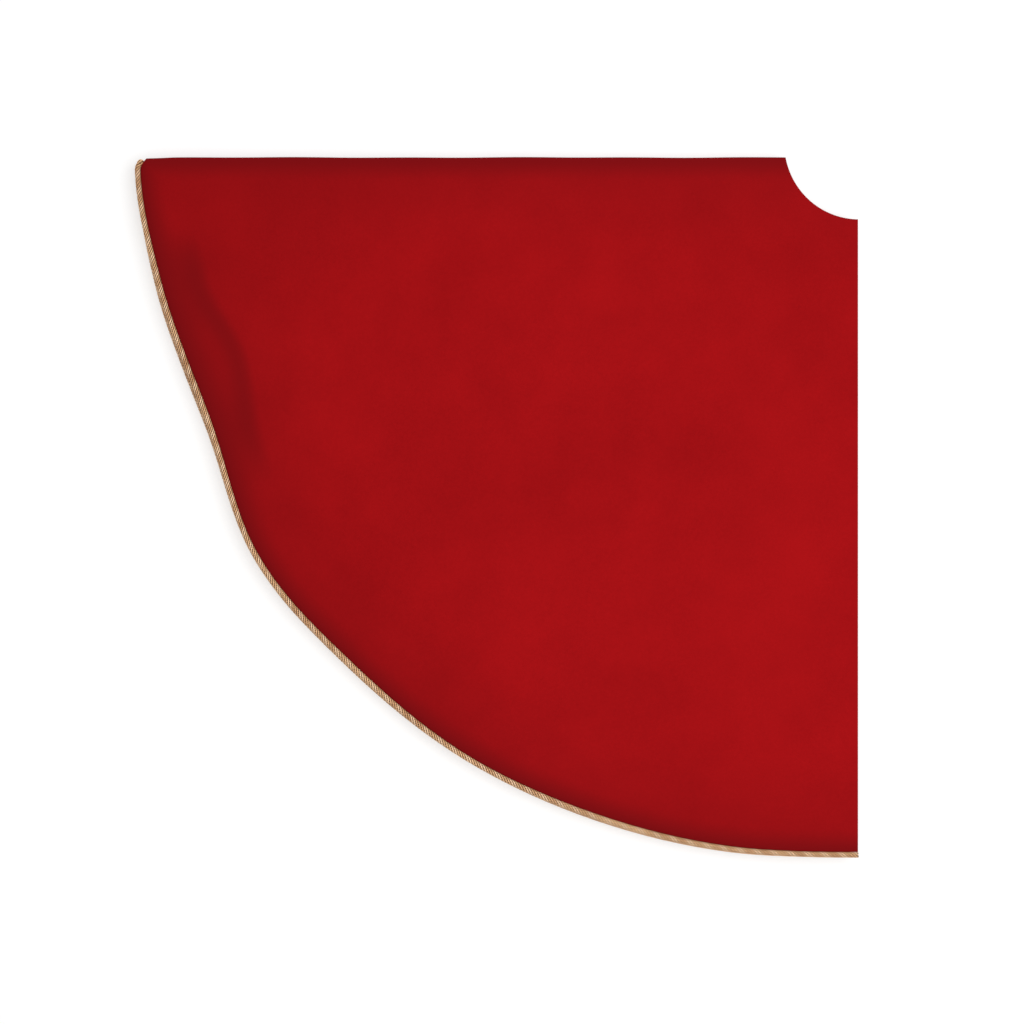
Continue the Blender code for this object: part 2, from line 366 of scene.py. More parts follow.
def settle(number, x, y):
    """Moves points of a quarter as the folded cloth settled: edges out of line, ends of folds drawn in."""
    angle = degrees_of(x, y)
    r = np.hypot(x, y)
    edge = SKIRT_RADIUS * edge_share(angle)
    at, offset = np.array(EDGE_OFFSETS[number], float).T
    dense = np.linspace(0, 90, 91)
    eased = np.convolve(np.pad(np.interp(dense, at, offset), 3, mode="edge"), np.ones(7) / 7, "valid")
    eased = eased * smooth(dense / 8) * smooth((90 - dense) / 8)
    out = np.interp(angle, dense, eased) * 0.001 * smooth((r - edge + 0.09) / 0.09)
    x = x - out * np.cos(np.radians(angle))
    y = y - out * np.sin(np.radians(angle))
    near = smooth((r - edge + 0.050) / 0.045)
    top = np.clip(1 + y / CORNER_REACH, 0, 1) ** 2
    x = x + CORNER_PULL * near * top
    if not SLIT[number]:
        side = np.clip(1 + x / CORNER_REACH, 0, 1) ** 2
        y = y + CORNER_PULL * near * side * (x > -0.1)
    return x, y


# Meshes


def make_piece(name, points, faces, material, attributes=None):
    """A mesh object in the row frame, smooth, with sharp rims."""
    mesh = bpy.data.meshes.new(name)
    mesh.from_pydata([tuple(p) for p in points], [], faces)
    for key, values in (attributes or {}).items():
        layer = mesh.attributes.new(key, "FLOAT", "POINT")
        layer.data.foreach_set("value", np.asarray(values, np.float32))
    mesh.materials.append(material)
    mesh.shade_smooth()
    mesh.set_sharp_from_angle(angle=radians(50))
    piece = bpy.data.objects.new(name, mesh)
    bpy.context.scene.collection.objects.link(piece)
    return piece


def grid_faces(rows, columns, first=0, flip=False):
    """Quads between the rows and columns of a grid of points."""
    faces = []
    for i in [first + r * columns + c for r in range(rows - 1) for c in range(columns - 1)]:
        quad = (i, i + 1, i + 1 + columns, i + columns)
        faces.append(quad[::-1] if flip else quad)
    return faces


def rim_faces(rows, columns, second, flip):
    """Quads that join the edges of two grids of the same size."""
    ring = list(range(columns))
    ring += [r * columns + columns - 1 for r in range(1, rows)]
    ring += [(rows - 1) * columns + c for c in range(columns - 2, -1, -1)]
    ring += [r * columns for r in range(rows - 2, 0, -1)]
    faces = []
    for i, j in zip(ring, ring[1:] + ring[:1]):
        quad = (j, i, i + second, j + second)
        faces.append(quad[::-1] if flip else quad)
    return faces


# Where painted shade darkens the velvet at the left, most in a streak inside the seam: angles in degrees and
# lengths in metres
LEFT_SHADE_END, LEFT_SHADE_FADE = 38, 16
LEFT_SHADE_FROM, LEFT_SHADE_REACH = 0.36, 0.14
STREAK_INSET, STREAK_SWAY, STREAK_WIDTH = 0.036, 0.006, 0.014


def left_shade_share(seam, x, y):
    """Share of the rim's distance that is left at each point, for painted shade: less at the left, least in
    a streak beside the seam.
    """
    angle = degrees_of(x, y)
    left_shade = smooth((LEFT_SHADE_END - angle) / LEFT_SHADE_FADE) * smooth((angle - 2) / 8)
    left_shade = left_shade * smooth((np.hypot(x, y) - LEFT_SHADE_FROM) / LEFT_SHADE_REACH)
    band = np.exp(-(((seam - STREAK_INSET - STREAK_SWAY * np.sin(angle * 0.45)) / STREAK_WIDTH) ** 2))
    return 1 - (0.38 + 0.46 * band) * left_shade


def cloth_shell(name, number, xy, top, bottom, material):
    """A layer of cloth over a grid, closed, between a top and a bottom height above the quarter's middle."""
    rows, columns = xy.shape[:2]
    x, y = xy[..., 0], xy[..., 1]
    rise = lift(number, x, y)
    d = distances(number, x, y)
    px, py = settle(number, x, y)
    count = rows * columns
    points = np.zeros((2 * count, 3))
    points[:, 0] = np.tile((px + CORNER_X).ravel(), 2)
    points[:, 1] = np.tile((py + CORNER_Y).ravel(), 2)
    points[:count, 2] = (MIDDLE[number] + top + rise).ravel()
    points[count:, 2] = (MIDDLE[number] + bottom + rise).ravel()
    # rows run outwards and columns run from the top crease to the right, so the top grid is turned over
    faces = grid_faces(rows, columns, 0, flip=True)
    faces += grid_faces(rows, columns, count)
    faces += rim_faces(rows, columns, count, flip=False)
    # distance from the edges and folds, for the velvet's painted shade where the cloth rolls away there
    rim = np.minimum(d["seam"], d["crease"])
    rim = np.minimum(rim, d["neck"] + 0.030)
    side = np.maximum(-x, 0) if not SLIT[number] else d["right"] + 0.070
    rim = np.minimum(rim, side)
    # painted shade reaches further in at the left
    rim = rim * left_shade_share(d["seam"], x, y)
    return make_piece(name, points, faces, material, {"rim_distance": np.tile(rim.ravel(), 2)})


CLOSE = (0, 0.0002, 0.0005, 0.0009, 0.0014, 0.0021, 0.0030, 0.0043, 0.0060, 0.0085, 0.0120)
SPARSE = (0, 0.0003, 0.0008, 0.0016, 0.0030, 0.0055, 0.0100)


def face_and_lining(number, velvet, satin):
    """The two cloths of a quarter. Each is one sheet, from fold to fold and from neck to edge."""
    up = FACE_UP[number]
    top_quarter = number == 1
    xy = plan(number, CLOSE if top_quarter else SPARSE, *((140, 130) if top_quarter else (72, 68)))
    outside = half_height(number, xy[..., 0], xy[..., 1])
    inside = np.maximum(outside - FACE_THICKNESS, SEAM_GAP)
    pair = (outside, inside) if up > 0 else (-inside, -outside)
    face = cloth_shell(f"velvet_face_{number}", number, xy, *pair, velvet)
    xy = plan(number, SPARSE, 72, 68)
    outside = half_height(number, xy[..., 0], xy[..., 1])
    inside = np.maximum(outside - LINING_THICKNESS, SEAM_GAP)
    pair = (outside, inside) if up < 0 else (-inside, -outside)
    lining = cloth_shell(f"satin_lining_{number}", number, xy, *pair, satin)
    return face, lining


def hidden_layer(name, number, xy, low, high, material):
    """A layer between the two cloths, given from the lining's side to the face's side."""
    up = FACE_UP[number]
    d = distances(number, xy[..., 0], xy[..., 1])
    taper = 0.12 + 0.88 * smooth(d["seam"] / 0.006)
    pair = (up * high * taper, up * low * taper)
    pair = pair if up > 0 else pair[::-1]
    return cloth_shell(name, number, xy, *pair, material)


def facing_strip(name, number, xy, material):
    """A strip of facing on the lining's side, with its edges turned under."""
    up = FACE_UP[number]
    outside = half_height(number, xy[..., 0], xy[..., 1])
    r = np.linspace(0, 1, len(xy))[:, None] + 0 * xy[..., 0]
    hem = 0.00045 + 0.00015 * np.minimum(1, 6 * (1 - r))
    pair = (-(outside - 0.00005), -(outside + hem)) if up > 0 else (outside + hem, outside - 0.00005)
    return cloth_shell(name, number, xy, *pair, material)


# Folds


def border(number, side, place, height):
    """Height of a quarter's surface at places along a crease, and how fast it rises inwards there."""
    inward = 0.0006
    if side == "top":
        x, y, xi, yi = -place, 0 * place, -place, 0 * place - inward
    else:
        x, y, xi, yi = 0 * place, -place, 0 * place - inward, -place
    z = MIDDLE[number] + height(number, x, y) + lift(number, x, y)
    zi = MIDDLE[number] + height(number, xi, yi) + lift(number, xi, yi)
    return z, (zi - z) / inward


def fold_curve(upper, lower, bulge, count):
    """Points across a fold as (outwards, height), from the upper quarter to the lower, level with both."""
    s = np.linspace(0, 1, count)[None, :]
    (zu, ru), (zl, rl) = [(z[:, None], r[:, None]) for z, r in (upper, lower)]
    m = 4 * np.asarray(bulge, float)
    m = m[:, None] if m.ndim else m
    h00, h01 = 2 * s**3 - 3 * s**2 + 1, 3 * s**2 - 2 * s**3
    h10, h11 = s**3 - 2 * s**2 + s, s**3 - s**2
    out = m * h10 - m * h11
    return out, h00 * zu + h01 * zl - h10 * m * ru + h11 * m * rl


def fold_ends(side):
    """Where a fold starts and ends along its crease: at the neck and at the outer seam."""
    axis, across = (0, 1) if side == "top" else (1, 0)
    edge = edge_curve(CLOTH_INSET)
    return -neck_point(angle_at(neck_point, across, 0.0))[axis], -edge(angle_at(edge, across, 0.0))[axis]


def fold_strip(name, joint, outer, material):
    """The cloth across a fold: the outer one goes round the outside, the inner one turns back inside."""
    lower, upper, side, cloth_out = FOLDS[joint]
    start, end = fold_ends(side)
    place = start + (end - start) * steps(end - start, CLOSE, 150)
    sign = 1 if outer else -1
    is_velvet = (cloth_out == "velvet") == outer
    thickness = FACE_THICKNESS if is_velvet else LINING_THICKNESS

    def skin(depth):
        def height(number, x, y):
            half = half_height(number, x, y)
            half = np.maximum(half - depth, SEAM_GAP)
            above = 1 if number == upper else -1
            return half * above * sign

        return height

    wobble = 1 + 0.22 * np.sin(place * 47 + 1.0) * np.sin(place * 19 + 2.2)
    eased = 0.45 + 0.55 * smooth((place[-1] - place) / 0.030)
    bulge = FOLD_BULGE[joint] * wobble * eased if outer else 0.0003 + 0 * place
    count = 13
    inner_bulge = bulge * 0.45 if outer else 0.0006 + 0 * place

    def across(depth, height):
        ends = [border(number, side, place, skin(depth)) for number in (upper, lower)]
        return fold_curve(*ends, height, count)

    rows = []
    for out, z in (across(0.0, bulge), across(thickness, inner_bulge)):
        along = np.repeat(place[:, None], count, 1)
        x, y = (-along, 0 * along) if side == "top" else (0 * along, -along)
        px, py = settle(upper, x - (1e-7 if side == "top" else 0), y)
        if side == "top":
            py = py + out
        else:
            px = px + out
        rows.append(np.stack([px + CORNER_X, py + CORNER_Y, z], -1))
    points = np.concatenate([r.reshape(-1, 3) for r in rows])
    total = len(place) * count
    faces = grid_faces(len(place), count, 0) + grid_faces(len(place), count, total, flip=True)
    faces += rim_faces(len(place), count, total, flip=True)
    # distance 0 all over, so a velvet fold takes the full painted edge shade
    strip = make_piece(name, points, faces, material, {"rim_distance": np.zeros(2 * total)})
    outwards(strip)
    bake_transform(strip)
    return strip


def outwards(piece):
    """Turns the faces of a closed piece to the outside."""
    work = bmesh.new()
    work.from_mesh(piece.data)
    bmesh.ops.recalc_face_normals(work, faces=work.faces)
    work.to_mesh(piece.data)
    work.free()


# Node trees for what repeats or follows a path


def node(tree, kind, inputs=None, **settings):
    made = tree.nodes.new(kind)
    for key, value in settings.items():
        setattr(made, key, value)
    for key, value in (inputs or {}).items():
        if isinstance(value, bpy.types.NodeSocket):
            tree.links.new(value, made.inputs[key])
        else:
            made.inputs[key].default_value = value
    return made


def output_of(tree, kind, inputs=None, **settings):
    """First output of a new node."""
    return node(tree, kind, inputs, **settings).outputs[0]


def math_node(tree, operation, a, b=0.0):
    return output_of(tree, "ShaderNodeMath", {0: a, 1: b}, operation=operation)


def vector_node(tree, operation, a, b=None, scale=None):
    inputs = {0: a}
    if b is not None:
        inputs[1] = b
    if scale is not None:
        inputs["Scale"] = scale
    return output_of(tree, "ShaderNodeVectorMath", inputs, operation=operation)


def new_tree(name, sockets):
    """A geometry node group with named inputs, given as name: (socket type, default)."""
    tree = bpy.data.node_groups.new(name, "GeometryNodeTree")
    tree.interface.new_socket("Geometry", in_out="INPUT", socket_type="NodeSocketGeometry")
    tree.interface.new_socket("Geometry", in_out="OUTPUT", socket_type="NodeSocketGeometry")
    for key, (kind, value) in sockets.items():
        socket = tree.interface.new_socket(key, in_out="INPUT", socket_type=kind)
        if value is not None:
            socket.default_value = value
    return tree, node(tree, "NodeGroupInput"), node(tree, "NodeGroupOutput")


def end_tree(tree, output, geometry, material):
    """Realizes what the tree made and gives it its material."""
    real = output_of(tree, "GeometryNodeRealizeInstances", {"Geometry": geometry})
    smooth_faces = output_of(tree, "GeometryNodeSetShadeSmooth", {"Geometry": real})
    done = node(tree, "GeometryNodeSetMaterial", {"Geometry": smooth_faces, "Material": material})
    tree.links.new(done.outputs[0], output.inputs[0])


def store(tree, geometry, name, value):
    """Keeps a number at each point of what the tree makes."""
    inputs = {"Geometry": geometry, "Name": name, "Value": value}
    return output_of(tree, "GeometryNodeStoreNamedAttribute", inputs, data_type="FLOAT")


def twisted_cord_tree():
    """Yarns laid round a path in a helix, each of three plies that twist the other way."""
    tree, given, output = new_tree(
        "twisted_cord",
        {
            "Yarns": ("NodeSocketInt", 5),
            "Lay Length": ("NodeSocketFloat", 0.0145),
            "Lay Radius": ("NodeSocketFloat", 0.00152),
            "Yarn Radius": ("NodeSocketFloat", 0.00098),
            "Ply Length": ("NodeSocketFloat", 0.0052),
            "Material": ("NodeSocketMaterial", None),
        },
    )
    g = given.outputs
    path = output_of(tree, "GeometryNodeMeshToCurve", {"Mesh": g["Geometry"]})
    copies = node(
        tree, "GeometryNodeDuplicateElements", {"Geometry": path, "Amount": g["Yarns"]}, domain="SPLINE"
    )
    along = output_of(tree, "GeometryNodeInputNamedAttribute", {"Name": "along"}, data_type="FLOAT")
    side = output_of(
        tree, "GeometryNodeInputNamedAttribute", {"Name": "side"}, data_type="FLOAT_VECTOR"
    )
    tangent = output_of(tree, "GeometryNodeInputTangent")
    turns = math_node(tree, "DIVIDE", along, g["Lay Length"])
    share = math_node(tree, "DIVIDE", copies.outputs["Duplicate Index"], g["Yarns"])
    angle = math_node(tree, "MULTIPLY", math_node(tree, "ADD", turns, share), tau)
    across = vector_node(tree, "CROSS_PRODUCT", tangent, side)
    part_a = vector_node(tree, "SCALE", side, scale=math_node(tree, "COSINE", angle))
    part_b = vector_node(tree, "SCALE", across, scale=math_node(tree, "SINE", angle))
    offset = vector_node(tree, "SCALE", vector_node(tree, "ADD", part_a, part_b), scale=g["Lay Radius"])
    laid = output_of(tree, "GeometryNodeSetPosition", {"Geometry": copies.outputs[0], "Offset": offset})
    twist = math_node(tree, "MULTIPLY", math_node(tree, "DIVIDE", along, g["Ply Length"]), -tau)
    laid = output_of(tree, "GeometryNodeSetCurveTilt", {"Curve": laid, "Tilt": twist})
    laid = store(tree, laid, "yarn", copies.outputs["Duplicate Index"])
    ring = output_of(
        tree, "GeometryNodeCurvePrimitiveCircle", {"Resolution": 12, "Radius": g["Yarn Radius"]}
    )
    around = node(tree, "GeometryNodeSplineParameter").outputs["Factor"]
    lobe = math_node(tree, "COSINE", math_node(tree, "MULTIPLY", around, 3 * tau))
    lobe = math_node(tree, "MULTIPLY", lobe, 0.13)
    spot = output_of(tree, "GeometryNodeInputPosition")
    bulge = vector_node(tree, "SCALE", spot, scale=lobe)
    ring = output_of(tree, "GeometryNodeSetPosition", {"Geometry": ring, "Offset": bulge})
    yarns = output_of(
        tree, "GeometryNodeCurveToMesh", {"Curve": laid, "Profile Curve": ring, "Fill Caps": True}
    )
    depth = node(tree, "GeometryNodeProximity", {0: g["Geometry"]}, target_element="EDGES")
    # distance from the cord's middle, which the gold's painted shade in the crevices reads
    yarns = store(tree, yarns, "crown", depth.outputs["Distance"])
    end_tree(tree, output, yarns, g["Material"])
    return tree


def stitch_tree():
    """Short rounded stitches in a row along each path."""
    tree, given, output = new_tree(
        "stitches",
        {
            "Spacing": ("NodeSocketFloat", 0.0032),
            "Stitch Length": ("NodeSocketFloat", 0.0022),
            "Thread Radius": ("NodeSocketFloat", 0.00022),
            "Material": ("NodeSocketMaterial", None),
        },
    )
    g = given.outputs
    path = output_of(tree, "GeometryNodeMeshToCurve", {"Mesh": g["Geometry"]})
    row = node(tree, "GeometryNodeResampleCurve", {"Curve": path, "Length": g["Spacing"]}, mode="LENGTH")
    ball = output_of(tree, "GeometryNodeMeshUVSphere", {"Segments": 6, "Rings": 5, "Radius": 1.0})
    tangent = output_of(tree, "GeometryNodeInputTangent")
    turn = output_of(
        tree, "FunctionNodeAlignRotationToVector", {"Vector": tangent}, axis="Z", pivot_axis="AUTO"
    )
    half = math_node(tree, "MULTIPLY", g["Stitch Length"], 0.5)
    size = output_of(
        tree, "ShaderNodeCombineXYZ", {"X": g["Thread Radius"], "Y": g["Thread Radius"], "Z": half}
    )
    stitches = output_of(
        tree,
        "GeometryNodeInstanceOnPoints",
        {"Points": row.outputs[0], "Instance": ball, "Rotation": turn, "Scale": size},
    )
    end_tree(tree, output, stitches, g["Material"])
    return tree


def grow(name, tree, paths, values):
    """Runs a tree on paths of points, and returns its result as a plain mesh object.

    A path is (points, along, side); along and side may be None."""
    points, lines, along, side = [], [], [], []
    for path in paths:
        line, run, frame_side = path if isinstance(path, tuple) else (path, None, None)
        first = len(points)
        points += [tuple(p) for p in line]
        lines += [(first + k, first + k + 1) for k in range(len(line) - 1)]
        along += list(run if run is not None else [0] * len(line))
        side += list(frame_side.ravel() if frame_side is not None else [0] * 3 * len(line))
    mesh = bpy.data.meshes.new(name + "_path")
    mesh.from_pydata(points, lines, [])
    mesh.attributes.new("along", "FLOAT", "POINT").data.foreach_set("value", np.array(along, np.float32))
    sides = mesh.attributes.new("side", "FLOAT_VECTOR", "POINT")
    sides.data.foreach_set("vector", np.array(side, np.float32))
    piece = bpy.data.objects.new(name, mesh)
    bpy.context.scene.collection.objects.link(piece)
    maker = piece.modifiers.new("maker", "NODES")
    maker.node_group = tree
    for item in tree.interface.items_tree:
        if item.item_type == "SOCKET" and item.in_out == "INPUT" and item.name in values:
            maker[item.identifier] = values[item.name]
    depsgraph = bpy.context.evaluated_depsgraph_get()
    made = bpy.data.meshes.new_from_object(piece.evaluated_get(depsgraph))
    piece.modifiers.remove(maker)
    piece.data = made
    made.name = name
    for key in ("along", "side"):
        if key in made.attributes:
            made.attributes.remove(made.attributes[key])
    return piece


# Cord


CORD_STEP = 0.0012
FOLD_GAP = (0.0020, 0.0036)  # how far short of the right and of the top crease a stretch of cord ends
SLIT_GAP = {1: 0.0, 4: 0.0030}  # and of the slit's edges, so that the ends don't meet when it is open
LOOP_BULGE = 0.0015


def cord_line(number):
    """Centreline of a quarter's cord from the right edge to the top crease, evenly spaced."""
    curve = edge_curve(CORD_RADIUS)
    low = angle_at(curve, 1, -FOLD_GAP[1])
    right = RIGHT[number] - SLIT_GAP[number] if SLIT[number] else -FOLD_GAP[0]
    high = angle_at(curve, 0, right)
    xy = curve(np.linspace(high, low, 3000))
    x, y = settle(number, xy[:, 0], xy[:, 1])
    points = np.stack([x + CORNER_X, y + CORNER_Y, MIDDLE[number] + 0 * x], -1)
    return even(points, CORD_STEP)


def even(points, step):
    """The same line with points at even distances."""
    run = run_of(points)
    places = np.linspace(0, run[-1], max(3, int(round(run[-1] / step)) + 1))
    return np.stack([np.interp(places, run, points[:, k]) for k in range(3)], -1)


def run_of(points, start=0.0):
    return start + np.concatenate([[0], np.cumsum(np.linalg.norm(np.diff(points, axis=0), axis=1))])


def cord_loop(joint, upper_end, before, lower_end):
    """Half turn of cord from the upper quarter's end to the lower one's, and the side its yarns start on."""
    out = np.array((0, 1, 0) if FOLDS[joint][2] == "top" else (1, 0, 0), float)
    facing = 1 if FOLDS[joint][3] == "velvet" else -1
    heading = upper_end - before
    heading = heading / np.linalg.norm(heading)
    s = np.linspace(0, 1, 21)[:, None]
    base = upper_end + (lower_end - upper_end) * (1 - np.cos(pi * s)) / 2
    points = base + heading * np.sin(pi * s) * LOOP_BULGE
    side = facing * (np.cos(pi * s) * np.array((0, 0, 1.0)) + np.sin(pi * s) * out)
    tangent = np.gradient(points, axis=0)
    tangent = tangent / np.linalg.norm(tangent, axis=1, keepdims=True)
    side = side - tangent * np.sum(side * tangent, 1, keepdims=True)
    side = side / np.linalg.norm(side, axis=1, keepdims=True)
    return points, side


def edge_cords(gold):
    """The cord round the skirt, one stretch on each quarter and a half turn at each fold."""
    tree = twisted_cord_tree()
    run = 0.0
    # from the slit and back: quarters 1 and 3 run from right to top, 2 and 4 from top to right
    lines = {number: cord_line(number)[:: 1 if number in (1, 3) else -1] for number in (1, 2, 3, 4)}
    for number in (1, 2, 3, 4):
        line = lines[number]
        along = run_of(line, run)
        side = np.tile((0.0, 0.0, float(FACE_UP[number])), (len(line), 1))
        cord = grow(f"gold_cord_{number}", tree, [(line, along, side)], {"Material": gold})
        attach(cord, f"quarter_{number}")
        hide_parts(f"edge_cord_{number}")
        run = along[-1]
        if number == 4:
            break
        joint = f"crease_{number}_{number + 1}"
        points, side = cord_loop(joint, line[-1], line[-2], lines[number + 1][0])
        along = run_of(points, run)
        loop = grow(f"gold_cord_fold_{joint[-3:]}", tree, [(points, along, side)], {"Material": gold})
        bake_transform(loop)
        run = along[-1]


# Facings, wadding, lip and tapes


def band(number, curves, columns):
    """Grid between the top crease and the right edge, one row on each curve."""
    rows = []
    for curve in curves:
        first, last = angle_at(curve, 1, 0.0), angle_at(curve, 0, RIGHT[number])
        ends = curve(np.array([first, last]))
        u = steps(np.linalg.norm(ends[1] - ends[0]) * 1.1, SPARSE, columns)
        rows.append(curve(first + u * (last - first)))
    return np.array(rows)


def neck_band(number):
    outsets = (0, 0.0003, 0.0010, 0.0022, 0.005, 0.010, 0.015, 0.020, 0.0232, 0.0246, 0.0250)
    return band(number, [neck_curve(o) for o in outsets], 36)


def lip_band(number):
    insets = [CLOTH_INSET + LIP_WIDTH * (1 - k / 5) for k in range(6)]
    return band(number, [edge_curve(o) for o in insets], 120)


def slit_band(number):
    """Grid over the facing strip: columns across it, rows from the neck facing to the outer seam."""
    columns = []
    for x in RIGHT[number] - FACING_WIDTH * (1 - steps(1.0, (0, 0.012, 0.05), 8)):
        start = neck_point(angle_at(neck_curve(FACING_WIDTH), 0, x), FACING_WIDTH)
        end = edge_point(angle_at(edge_curve(CLOTH_INSET), 0, x), CLOTH_INSET)
        rows = steps(0.53, SPARSE, 70)[:, None]
        columns.append(start + (end - start) * rows)
    grid = np.stack(columns, 1)
    grid[..., 0] = grid[:1, :, 0]
    return grid


def on_cloth(number, x, y, side, above):
    """Points of the row frame on a quarter's cloth: side 1 is the face's, -1 the lining's."""
    toward = FACE_UP[number] * side
    z = MIDDLE[number] + toward * (half_height(number, x, y) + above) + lift(number, x, y)
    px, py = settle(number, x, y)
    return np.stack([px + CORNER_X, py + CORNER_Y, z], -1)


def sewn_rows(number):
    """Lines that are stitched on the lining's side of a quarter."""
    hem = 0.00062
    right = RIGHT[number]
    first = angle_at(neck_curve(FACING_WIDTH), 1, -0.002)
    last = angle_at(neck_curve(FACING_WIDTH), 0, right - 0.002)
    arc = neck_point(np.linspace(first, last, 80), FACING_WIDTH - 0.0016)
    rows = [on_cloth(number, arc[:, 0], arc[:, 1], -1, hem)]
    seam = CLOTH_INSET + 0.0032
    ends = [angle_at(edge_curve(seam), k, v) for k, v in ((1, -0.003), (0, right - 0.003))]
    edge = edge_point(np.linspace(*ends, 400), seam)
    rows.append(on_cloth(number, edge[:, 0], edge[:, 1], -1, 0.0))
    if SLIT[number]:
        y = -np.linspace(NECK_RADIUS + FACING_WIDTH, SKIRT_RADIUS * 0.975 - 0.010, 300)
        for x, above in ((right - FACING_WIDTH + 0.0016, hem), (right - 0.0030, hem)):
            rows.append(on_cloth(number, x + 0 * y, y, -1, above))
    return rows


def tape_rows(number, name):
    low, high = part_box(name)
    side = -1 if number == 1 else 1
    above = 0.00085 if number == 1 else 0.0002
    m = 0.0016
    x0, x1 = low.x - CORNER_X + m, high.x - CORNER_X - m
    y0, y1 = low.y - CORNER_Y + m, high.y - CORNER_Y - m
    loop = np.array([(x0, y0), (x1, y0), (x1, y1), (x0, y1), (x0, y0)])
    loop = even(np.concatenate([loop, np.zeros((5, 1))], 1), 0.001)
    return on_cloth(number, loop[:, 0], loop[:, 1], side, above)


def tape_tree():
    """A field of small stems with round heads that lean a little each way, for hooks or loops."""
    tree, given, output = new_tree(
        "tape_pile",
        {
            "Stem Radius": ("NodeSocketFloat", 0.00011),
            "Stem Height": ("NodeSocketFloat", 0.00050),
            "Head Radius": ("NodeSocketFloat", 0.00021),
            "Lean": ("NodeSocketFloat", 0.25),
            "Seed": ("NodeSocketInt", 7),
            "Material": ("NodeSocketMaterial", None),
        },
    )
    g = given.outputs
    stem = output_of(
        tree,
        "GeometryNodeMeshCylinder",
        {"Vertices": 5, "Radius": g["Stem Radius"], "Depth": g["Stem Height"]},
    )
    head = output_of(
        tree, "GeometryNodeMeshUVSphere", {"Segments": 6, "Rings": 4, "Radius": g["Head Radius"]}
    )
    rise = node(tree, "ShaderNodeCombineXYZ", {"Z": math_node(tree, "MULTIPLY", g["Stem Height"], 0.5)})
    head = output_of(tree, "GeometryNodeTransform", {"Geometry": head, "Translation": rise.outputs[0]})
    both = node(tree, "GeometryNodeJoinGeometry")
    tree.links.new(stem, both.inputs[0])
    tree.links.new(head, both.inputs[0])
    lean = vector_node(tree, "SCALE", (1, 1, 0), scale=g["Lean"])
    back = vector_node(tree, "SCALE", lean, scale=-1.0)
    turn = output_of(
        tree,
        "FunctionNodeRandomValue",
        {"Min": back, "Max": lean, "Seed": g["Seed"]},
        data_type="FLOAT_VECTOR",
    )
    points = output_of(tree, "GeometryNodeMeshToPoints", {"Mesh": g["Geometry"]})
    field = output_of(
        tree,
        "GeometryNodeInstanceOnPoints",
        {"Points": points, "Instance": both.outputs[0], "Rotation": turn},
    )
    end_tree(tree, output, field, g["Material"])
    return tree


def tape(name, number, kind, tree, material):
    """A hook or loop tape: a thin woven base that follows the cloth, and its field of hooks or loops."""
    low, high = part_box(name)
    down = -FACE_UP[number]  # hooks look down from quarter 1, loops look down from quarter 4
    rows, columns = 16, 10
    x = np.linspace(low.x, high.x, columns)[None, :] + np.zeros((rows, 1)) - CORNER_X
    y = np.linspace(low.y, high.y, rows)[:, None] + np.zeros((1, columns)) - CORNER_Y
    base = on_cloth(number, x, y, down, 0.0)
    depth = (0.00045, 0.00100) if kind == "hook" else (-0.0003, 0.00022)
    count = rows * columns
    points = np.concatenate([base.reshape(-1, 3)] * 2)
    edge = np.minimum(np.minimum(x - x.min(), x.max() - x), np.minimum(y - y.min(), y.max() - y)).ravel()
    rounded = 0.75 + 0.25 * np.clip(edge / 0.0012, 0, 1)
    points[:count, 2] -= depth[0]
    points[count:, 2] -= depth[0] + (depth[1] - depth[0]) * rounded
    faces = grid_faces(rows, columns) + grid_faces(rows, columns, count, flip=True)
    faces += rim_faces(rows, columns, count, flip=True)
    body = make_piece(f"{kind}_tape_base_{name[-1]}", points, faces, material)
    outwards(body)
    inner = 0.0026
    px = np.arange(x.min() + inner, x.max() - inner, 0.00105)
    py = np.arange(y.min() + inner, y.max() - inner, 0.00105)
    gx, gy = [a.ravel() for a in np.meshgrid(px, py)]
    spots = on_cloth(number, gx + 0.0005 * (np.round(gy / 0.00105) % 2), gy, down, 0.0)
    spots[:, 2] -= depth[1] + (0.00012 if kind == "hook" else 0.0)
    sizes = {"Material": material, "Stem Height": 0.00035 if kind == "hook" else 0.00016}
    sizes["Head Radius"] = 0.00022 if kind == "hook" else 0.00030
    sizes["Lean"] = 0.2 if kind == "hook" else 0.9
    field = grow(f"{kind}s_{name[-1]}", tree, [spots], sizes)
    for piece in (body, field):
        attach(piece, f"quarter_{number}")
    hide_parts(name)


# Materials


def shader_group(name, inputs, outputs):
    tree = bpy.data.node_groups.new(name, "ShaderNodeTree")
    for key, (kind, value) in inputs.items():
        socket = tree.interface.new_socket(key, in_out="INPUT", socket_type=kind)
        socket.default_value = value
    for key in outputs:
        tree.interface.new_socket(key, in_out="OUTPUT", socket_type="NodeSocketFloat")
    return tree, node(tree, "NodeGroupInput"), node(tree, "NodeGroupOutput")


def noise(tree, vector, scale, detail=2.0):
    made = node(tree, "ShaderNodeTexNoise", {"Vector": vector, "Scale": scale, "Detail": detail})
    return made.outputs["Fac"]


